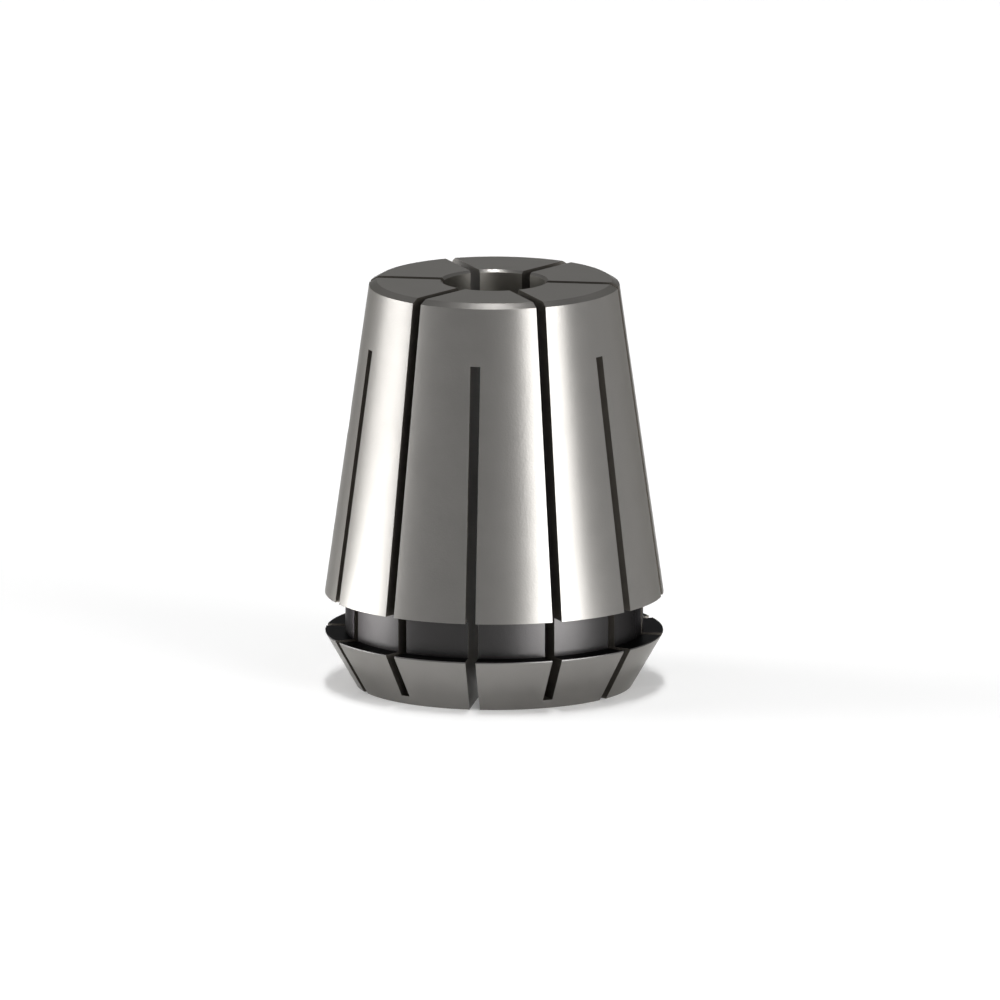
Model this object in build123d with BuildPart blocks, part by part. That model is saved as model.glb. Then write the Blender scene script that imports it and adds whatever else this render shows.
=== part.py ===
from build123d import *
import os
from math import radians, tan

# An ER collet: a one-piece spring sleeve, turned, slit from both ends and ground.
# It stands on its nose face. The origin is the centre of that face, and +Z runs along
# the axis to the small rear end, which goes into the holder first.

# Driving dimensions, in millimetres and degrees.
overall_length = 40.0          # nose face to rear face

seat_diameter = 33.0           # large end of the taper that seats in the holder
seat_half_angle = 8.0          # taper, measured from the axis
rear_chamfer_width = 0.75      # across the rear face
rear_chamfer_angle = 30.0      # measured from the rear face

nose_height = 5.3              # nose face to the near side of the extraction groove
nose_half_angle = 30.0         # cone that the clamping nut bears on, from the axis
rim_setback = 0.05             # the nose's rim stays this far inside the taper's large end
rim_land = 0.12                # straight land left round the rim of the cone

groove_width = 3.8             # extraction groove, where the nut's ring takes hold
groove_depth = 2.0             # below the taper's large end

bore_diameter = 10.0           # shank that the collet grips
bore_chamfer = 0.25            # at 45 degrees, at both mouths

slots_per_end = 6
slot_width = 1.0
nose_slot_angle = -90.0        # the first slot from the nose faces -Y
nose_bridge = 0.9              # metal left at the nose, below each slot from the rear
rear_bridge = 6.0              # metal left at the rear, above each slot from the nose

# Radii of the turned section.
bore_radius = bore_diameter / 2
seat_radius = seat_diameter / 2
rim_radius = seat_radius - rim_setback
groove_radius = seat_radius - groove_depth

# Heights where the section turns a corner.
cone_top = nose_height - rim_land
seat_start = nose_height + groove_width
seat_end = overall_length - rear_chamfer_width * tan(radians(rear_chamfer_angle))

# Radii that the cones give at their small ends.
nose_face_radius = rim_radius - cone_top * tan(radians(nose_half_angle))
seat_end_radius = seat_radius - (seat_end - seat_start) * tan(radians(seat_half_angle))
rear_face_radius = seat_end_radius - rear_chamfer_width

# A slot runs from the axis to clear of the widest part of the sleeve.
slot_reach = seat_radius + slot_width
slot_pitch = 360 / slots_per_end
rear_slot_angle = nose_slot_angle + slot_pitch / 2

# The turned faces close on a seam, which lies in the middle of the land between two slots.
seam_angle = nose_slot_angle + slot_pitch / 4
section_plane = Plane.XZ.rotated((0, 0, seam_angle))

with BuildPart() as collet:
    # The half section is turned about the axis: nose cone, groove, seat taper and rear chamfer.
    with BuildSketch(section_plane):
        with BuildLine():
            Polyline(
                (bore_radius, 0),
                (nose_face_radius, 0),
                (rim_radius, cone_top),
                (rim_radius, nose_height),
                (groove_radius, nose_height),
                (groove_radius, seat_start),
                (seat_radius, seat_start),
                (seat_end_radius, seat_end),
                (rear_face_radius, overall_length),
                (bore_radius, overall_length),
                close=True,
            )
        make_face()
    revolve(axis=Axis.Z)

    # Both mouths of the bore are chamfered: they are the smallest circles on the blank.
    bore_mouths = collet.edges().filter_by(GeomType.CIRCLE).group_by(SortBy.RADIUS)[0]
    chamfer(bore_mouths, length=bore_chamfer)

    # Slots from the nose run up through the groove and the taper to the rear bridge.
    with BuildSketch(Plane.XY):
        with PolarLocations(0, slots_per_end, start_angle=nose_slot_angle):
            Rectangle(slot_reach, slot_width, align=(Align.MIN, Align.CENTER))
    extrude(amount=overall_length - rear_bridge, mode=Mode.SUBTRACT)

    # Slots from the rear lie between them and run down to the nose bridge.
    with BuildSketch(Plane.XY.offset(overall_length)):
        with PolarLocations(0, slots_per_end, start_angle=rear_slot_angle):
            Rectangle(slot_reach, slot_width, align=(Align.MIN, Align.CENTER))
    extrude(amount=nose_bridge - overall_length, mode=Mode.SUBTRACT)

collet.part.label = "collet"

os.makedirs("parts", exist_ok=True)
export_step(collet.part, "parts/collet.step")
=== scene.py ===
import math
import bpy
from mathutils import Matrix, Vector


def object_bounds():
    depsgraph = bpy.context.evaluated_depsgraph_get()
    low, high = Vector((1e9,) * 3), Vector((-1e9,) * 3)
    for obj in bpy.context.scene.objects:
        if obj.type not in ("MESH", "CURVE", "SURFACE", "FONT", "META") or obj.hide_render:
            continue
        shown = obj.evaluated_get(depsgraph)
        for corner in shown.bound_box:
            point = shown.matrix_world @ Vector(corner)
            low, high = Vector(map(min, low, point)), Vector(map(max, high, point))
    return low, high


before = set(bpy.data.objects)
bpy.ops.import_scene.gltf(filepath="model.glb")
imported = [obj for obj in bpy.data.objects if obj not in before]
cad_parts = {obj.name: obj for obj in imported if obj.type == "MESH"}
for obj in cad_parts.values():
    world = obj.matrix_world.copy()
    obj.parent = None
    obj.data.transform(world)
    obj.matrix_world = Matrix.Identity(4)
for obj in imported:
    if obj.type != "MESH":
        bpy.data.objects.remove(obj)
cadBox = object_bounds()
mm = 0.001
print("frame loaded:", ", ".join(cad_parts))


def hexColour(code):
    channels = [int(code[i:i + 2], 16) / 255 for i in (1, 3, 5)]
    linear = [c / 12.92 if c <= 0.04045 else ((c + 0.055) / 1.055) ** 2.4 for c in channels]
    return (*linear, 1.0)


# adds a node, sets its inputs or its own settings, and wires in what feeds it
def addNode(tree, kind, settings=(), feeds=()):
    node = tree.nodes.new(kind)
    for name, value in dict(settings).items():
        if isinstance(name, int) or name in node.inputs:
            node.inputs[name].default_value = value
        else:
            setattr(node, name, value)
    for name, source in dict(feeds).items():
        tree.links.new(source, node.inputs[name])
    return node


def newMaterial(name):
    material = bpy.data.materials.new(name)
    material.use_nodes = True
    material.node_tree.nodes.clear()
    return material


# Spring steel, turned and sawn, hardened in a furnace and then ground. The wheel reaches the taper, the
# nose cone and both ends, and a hone the bore: these come out satin grey, and draw a lamp out into a soft
# bright band. The slots keep a thin brown-grey oxide, which dulls them. The groove keeps the furnace's
# blue-black skin. The narrow land round the nose's rim is painted lighter than that skin, as a painted
# highlight that draws a faint pale line along the rim's edge.
fromWheel = {"colour": "#868481", "metallic": 1.0, "roughness": 0.29}
fromSaw = {"colour": "#64605A", "metallic": 0.7, "roughness": 0.31, "edge": "#FFFFFF"}
top = cadBox[1][2]
endReach = 0.5 * mm        # a level face nearer than this to the foot or the top is one of the two ends
landFrom = 5.17 * mm       # the foot of that narrow land
levelFrom = 0.9            # the normal of a level face is at least this steep
beyond = 2.0               # more than any distance in metres here, or any part of a unit vector
steel = {
    # Each finish lies over those before it, and edge is the colour that it reflects at a glancing angle.
    # It lies where the face's height, radius, steepness or sideways turn is between two limits, which
    # stand a hair off the collet's own edges so that no face lies right on one.
    "finishes": {
        # The taper, the nose cone and the ends are one and the same wheel-ground steel, and differ only
        # in edge. That glancing colour is painted light and shade: darker on the taper, as painted shade
        # on its sides; lighter on the ends, and lightest on the nose cone, as a painted sheen on their
        # glancing sides.
        "taper": {**fromWheel, "edge": "#B2B1AF"},
        "cone": {**fromWheel, "edge": "#E4E3E1", "where": {"height": (-beyond, landFrom)}},
        "ends": {**fromWheel, "edge": "#C8C7C5", "where": {"steepness": (levelFrom, beyond)}},
        "bore": {"colour": "#94918B", "metallic": 1.0, "roughness": 0.36, "edge": "#C8C7C5",
                 "where": {"radius": (0.0, 5.02 * mm)}},
        "slotEnds": {**fromSaw, "where": {"steepness": (levelFrom, beyond),
                                          "height": (endReach, top - endReach)}},
        "groove": {"colour": "#393838", "metallic": 1.0, "roughness": 0.38, "edge": "#9A9A9B",
                   "where": {"height": (landFrom, 9.11 * mm), "radius": (14.0 * mm, beyond)}},
        # painted highlight: the land is lighter than the groove's skin, so that a faint pale line runs
        # round the rim's edge
        "rim": {"colour": "#5A5958", "metallic": 1.0, "roughness": 0.38, "edge": "#9A9A9B",
                "where": {"height": (landFrom, 5.29 * mm), "radius": (16.3 * mm, beyond)}},
        "slotWalls": {**fromSaw, "where": {"sideways": (0.5, beyond)}},
    },
    "grainSize": 0.2 * mm,     # grit marks, drawn about ten times the real grit so that they show
    "grainDepth": 0.009 * mm,
    "grainDetail": 3.0,
    "grainRoughness": 0.6,
    "tone": 0.025,             # how much the colour wanders
    "toneSize": 3 * mm,
    "toneDetail": 2.0,
    "toneRange": (0.3, 0.7),   # the noise seldom leaves it
}


# what the collet's finishes and normals are worked out from, all told from its axis
def surfaceMeasures(tree):
    coords = addNode(tree, "ShaderNodeTexCoord")
    place, normal = coords.outputs["Object"], coords.outputs["Normal"]
    split = addNode(tree, "ShaderNodeSeparateXYZ", feeds={"Vector": place})
    flat = addNode(tree, "ShaderNodeCombineXYZ", feeds={"X": split.outputs["X"], "Y": split.outputs["Y"]})
    radius = addNode(tree, "ShaderNodeVectorMath", {"operation": "LENGTH"}, {0: flat.outputs[0]})
    outward = addNode(tree, "ShaderNodeVectorMath", {"operation": "NORMALIZE"}, {0: flat.outputs[0]})
    around = addNode(tree, "ShaderNodeVectorMath", {"operation": "CROSS_PRODUCT", 0: (0, 0, 1)},
                     {1: outward.outputs[0]})
    facing = addNode(tree, "ShaderNodeVectorMath", {"operation": "DOT_PRODUCT"},
                     {0: normal, 1: around.outputs[0]})
    sideways = addNode(tree, "ShaderNodeMath", {"operation": "ABSOLUTE"}, {0: facing.outputs["Value"]})
    rise = addNode(tree, "ShaderNodeSeparateXYZ", feeds={"Vector": normal}).outputs["Z"]
    steepness = addNode(tree, "ShaderNodeMath", {"operation": "ABSOLUTE"}, {0: rise})
    return {
        "place": place,
        "normal": normal,
        "outward": outward.outputs[0],
        "rise": rise,
        "height": split.outputs["Z"],
        "radius": radius.outputs["Value"],
        "steepness": steepness.outputs[0],
        "sideways": sideways.outputs[0],
    }


# a mask that is 1 where each measure lies between its limits
def maskWhere(tree, surface, where):
    mask = None
    for measure, (low, high) in where.items():
        for operation, limit in (("GREATER_THAN", low), ("LESS_THAN", high)):
            test = addNode(tree, "ShaderNodeMath", {"operation": operation, 1: limit},
                           {0: surface[measure]})
            feeds = {1: test.outputs[0]}
            if mask is not None:
                feeds[0] = mask
            mask = addNode(tree, "ShaderNodeMath", {"operation": "MULTIPLY", 0: 1.0}, feeds).outputs[0]
    return mask


# a chain of Mix nodes for each property, which lays the finishes one by one over the taper's
def layFinishes(tree, masks):
    sockets = {     # Mix's own numbers for the value under, the value over and the result
        "colour": ("RGBA", 6, 7, 2),
        "metallic": ("FLOAT", 2, 3, 0),
        "roughness": ("FLOAT", 2, 3, 0),
        "edge": ("RGBA", 6, 7, 2),
    }
    base = steel["finishes"]["taper"]
    layered = {}
    for name, mask in masks.items():
        finish = steel["finishes"][name]
        for part, (kind, under, over, result) in sockets.items():
            asValue = hexColour if kind == "RGBA" else float
            settings = {"data_type": kind, under: asValue(base[part]), over: asValue(finish[part])}
            feeds = {0: mask}
            if part in layered:
                feeds[under] = layered[part]
            layered[part] = addNode(tree, "ShaderNodeMix", settings, feeds).outputs[result]
    return layered


# A turned face looks straight away from the axis, or straight at it, so its normal is worked out afresh
# from how much the mesh's own rises. Slot walls are flat already and keep theirs.
def turnedNormal(tree, surface, slotWall):
    leaning = addNode(tree, "ShaderNodeVectorMath", {"operation": "DOT_PRODUCT"},
                      {0: surface["normal"], 1: surface["outward"]})
    side = addNode(tree, "ShaderNodeMath", {"operation": "SIGN"}, {0: leaning.outputs["Value"]})
    square = addNode(tree, "ShaderNodeMath", {"operation": "MULTIPLY"},
                     {0: surface["rise"], 1: surface["rise"]})
    rest = addNode(tree, "ShaderNodeMath", {"operation": "SUBTRACT", 0: 1.0, "use_clamp": True},
                   {1: square.outputs[0]})
    root = addNode(tree, "ShaderNodeMath", {"operation": "SQRT"}, {0: rest.outputs[0]})
    reach = addNode(tree, "ShaderNodeMath", {"operation": "MULTIPLY"},
                    {0: root.outputs[0], 1: side.outputs[0]})
    across = addNode(tree, "ShaderNodeVectorMath", {"operation": "SCALE"},
                     {0: surface["outward"], "Scale": reach.outputs[0]})
    along = addNode(tree, "ShaderNodeCombineXYZ", feeds={"Z": surface["rise"]})
    turned = addNode(tree, "ShaderNodeVectorMath", {"operation": "ADD"},
                     {0: across.outputs[0], 1: along.outputs[0]})
    chosen = addNode(tree, "ShaderNodeMix", {"data_type": "VECTOR"},
                     {0: slotWall, 4: turned.outputs[0], 5: surface["normal"]})
    inWorld = addNode(tree, "ShaderNodeVectorTransform",
                      {"vector_type": "NORMAL", "convert_from": "OBJECT", "convert_to": "WORLD"},
                      {0: chosen.outputs[1]})
    return inWorld.outputs[0]


def grainNormal(tree, place, smoothNormal):
    grain = addNode(tree, "ShaderNodeTexNoise",
                    {"Scale": 1 / steel["grainSize"], "Detail": steel["grainDetail"],
                     "Roughness": steel["grainRoughness"]}, {"Vector": place})
    bump = addNode(tree, "ShaderNodeBump", {"Strength": 1.0, "Distance": steel["grainDepth"]},
                   {"Height": grain.outputs["Fac"], "Normal": smoothNormal})
    return bump.outputs["Normal"]


def wanderingColour(tree, place, colour):
    low, high = steel["toneRange"]
    drift = addNode(tree, "ShaderNodeTexNoise",
                    {"Scale": 1 / steel["toneSize"], "Detail": steel["toneDetail"]}, {"Vector": place})
    wander = addNode(tree, "ShaderNodeMapRange",
                     {"From Min": low, "From Max": high, "To Min": 1 - steel["tone"],
                      "To Max": 1 + steel["tone"]}, {"Value": drift.outputs["Fac"]})
    toned = addNode(tree, "ShaderNodeVectorMath", {"operation": "SCALE"},
                    {0: colour, "Scale": wander.outputs[0]})
    return toned.outputs[0]


def steelMaterial():
    material = newMaterial("groundSpringSteel")
    tree = material.node_tree
    surface = surfaceMeasures(tree)
    masks = {name: maskWhere(tree, surface, finish["where"])
             for name, finish in steel["finishes"].items() if "where" in finish}
    layered = layFinishes(tree, masks)
    smoothNormal = turnedNormal(tree, surface, masks["slotWalls"])
    shader = addNode(tree, "ShaderNodeBsdfPrincipled", feeds={
        "Base Color": wanderingColour(tree, surface["place"], layered["colour"]),
        "Metallic": layered["metallic"],
        "Roughness": layered["roughness"],
        "Specular Tint": layered["edge"],
        "Normal": grainNormal(tree, surface["place"], smoothNormal),
    })
    addNode(tree, "ShaderNodeOutputMaterial", feeds={"Surface": shader.outputs[0]})
    return material


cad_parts["collet"].data.materials[0] = steelMaterial()
print("steel laid on the collet:", len(steel["finishes"]), "finishes")

view = {
    "azimuth": math.radians(8.15),      # the first slot from the nose stands just left of the middle
    "elevation": math.radians(11.56),
    "width": 97.4 * mm,
    "aim": (0.56 * mm, 18.13 * mm),     # right of the axis, and above the floor
    "distance": 0.6,
}


# a unit vector away from the axis, with the azimuth turning from -Y towards +X
def outwardAt(azimuth, elevation):
    level = math.cos(elevation)
    return Vector((math.sin(azimuth) * level, -math.cos(azimuth) * level, math.sin(elevation)))


def addCamera():
    back = outwardAt(view["azimuth"], view["elevation"])
    right = Vector((math.cos(view["azimuth"]), math.sin(view["azimuth"]), 0))
    aside, up = view["aim"]
    camera = bpy.data.objects.new("camera", bpy.data.cameras.new("camera"))
    bpy.context.scene.collection.objects.link(camera)
    camera.data.type = "ORTHO"
    camera.data.ortho_scale = view["width"]
    camera.location = right * aside + Vector((0, 0, up)) + back * view["distance"]
    camera.rotation_mode = "QUATERNION"
    camera.rotation_quaternion = (-back).to_track_quat("-Z", "Y")
    bpy.context.scene.camera = camera


addCamera()
print("camera placed")

floorLook = {
    "radius": 1.5,
    "sides": 96,
    "colour": "#FAFAFA",
    "glow": "#FFFFFF",
    "lift": 0.10,          # glow where a lens or a mirror sees the floor, which takes it up to white
}


# white board, painted matt, which takes a soft shadow and mirrors nothing
def boardMaterial():
    material = newMaterial("matteBoard")
    tree = material.node_tree
    path = addNode(tree, "ShaderNodeLightPath")
    seen = addNode(tree, "ShaderNodeMath", {"operation": "MAXIMUM"},
                   {0: path.outputs["Is Camera Ray"], 1: path.outputs["Is Glossy Ray"]})
    seenAtAll = addNode(tree, "ShaderNodeMath", {"operation": "MAXIMUM"},
                        {0: seen.outputs[0], 1: path.outputs["Is Transmission Ray"]})
    lift = addNode(tree, "ShaderNodeMath", {"operation": "MULTIPLY", 1: floorLook["lift"]},
                   {0: seenAtAll.outputs[0]})
    paint = addNode(tree, "ShaderNodeBsdfDiffuse", {"Color": hexColour(floorLook["colour"])})
    glow = addNode(tree, "ShaderNodeEmission", {"Color": hexColour(floorLook["glow"])},
                   {"Strength": lift.outputs[0]})
    both = addNode(tree, "ShaderNodeAddShader", feeds={0: paint.outputs[0], 1: glow.outputs[0]})
    addNode(tree, "ShaderNodeOutputMaterial", feeds={"Surface": both.outputs[0]})
    return material


def addFloor():
    bpy.ops.mesh.primitive_circle_add(vertices=floorLook["sides"], radius=floorLook["radius"],
                                      fill_type="NGON")
    floor = bpy.context.object
    floor.name = "floor"
    floor.data.materials.append(boardMaterial())


addFloor()
print("floor laid")

# azimuths are in degrees from the camera's own, positive to its right; sizes and distances are in metres
lamps = {
    "leftStrip": {"azimuth": -98.8, "elevation": 10, "distance": 1.5,
                  "width": 1.06, "height": 0.86, "radiance": 6.6},
    "rightStrip": {"azimuth": 45.4, "elevation": 10, "distance": 1.5,
                   "width": 0.92, "height": 0.86, "radiance": 7.4},
    "overhead": {"azimuth": 0, "elevation": 88, "distance": 1.5,
                 "width": 0.12, "height": 0.80, "radiance": 32.0},
    "backFill": {"azimuth": 180, "elevation": 24, "distance": 1.5,
                 "width": 1.5, "height": 1.5, "radiance": 0.21},
}
# these lie on the board, face up, and carry the light of the two strips down to the collet's foot
panels = {
    "leftPanel": {"azimuth": -95.5, "from": 0.036, "to": 0.16, "width": 0.040, "radiance": 15.5},
    "rightPanel": {"azimuth": 41, "from": 0.036, "to": 0.16, "width": 0.036, "radiance": 15.5},
}
panelHeight = 0.3 * mm     # so that they don't share a plane with the board


def addLamp(name, place, rotation, width, height, radiance):
    data = bpy.data.lights.new(name, "AREA")
    data.shape = "RECTANGLE"
    data.size = width
    data.size_y = height
    data.energy = radiance * math.pi * width * height     # the watts that give that radiance
    light = bpy.data.objects.new(name, data)
    bpy.context.scene.collection.objects.link(light)
    light.location = place
    light.rotation_euler = rotation
    light.visible_camera = False


def addLamps():
    for name, lamp in lamps.items():
        out = outwardAt(view["azimuth"] + math.radians(lamp["azimuth"]), math.radians(lamp["elevation"]))
        place = out * lamp["distance"] + Vector((0, 0, view["aim"][1]))
        rotation = out.to_track_quat("Z", "Y").to_euler()
        addLamp(name, place, rotation, lamp["width"], lamp["height"], lamp["radiance"])


def addPanels():
    for name, panel in panels.items():
        azimuth = view["azimuth"] + math.radians(panel["azimuth"])
        middle = (panel["from"] + panel["to"]) / 2
        place = outwardAt(azimuth, 0) * middle + Vector((0, 0, panelHeight))
        rotation = (math.pi, 0, azimuth)     # a lamp shines down, so this one is turned over
        addLamp(name, place, rotation, panel["width"], panel["to"] - panel["from"], panel["radiance"])


addLamps()
addPanels()
print("lamps placed:", len(lamps) + len(panels))

# a plain room round the set, with its strengths above and below the horizon
room = {
    "colour": "#FFFFFF",
    "above": 0.33,
    "below": 1.0,          # white, for a low camera that looks under the board's edge
    "horizon": 0.0,
}


def addRoom():
    world = bpy.data.worlds.new("room")
    bpy.context.scene.world = world
    world.use_nodes = True
    tree = world.node_tree
    tree.nodes.clear()
    coords = addNode(tree, "ShaderNodeTexCoord")
    way = addNode(tree, "ShaderNodeSeparateXYZ", feeds={"Vector": coords.outputs["Generated"]})
    down = addNode(tree, "ShaderNodeMath", {"operation": "LESS_THAN", 1: room["horizon"]},
                   {0: way.outputs["Z"]})
    strength = addNode(tree, "ShaderNodeMapRange", {"To Min": room["above"], "To Max": room["below"]},
                       {"Value": down.outputs[0]})
    sky = addNode(tree, "ShaderNodeBackground", {"Color": hexColour(room["colour"])},
                  {"Strength": strength.outputs[0]})
    addNode(tree, "ShaderNodeOutputWorld", feeds={"Surface": sky.outputs[0]})


addRoom()
bpy.context.scene.view_settings.view_transform = "Standard"
print("room lit")
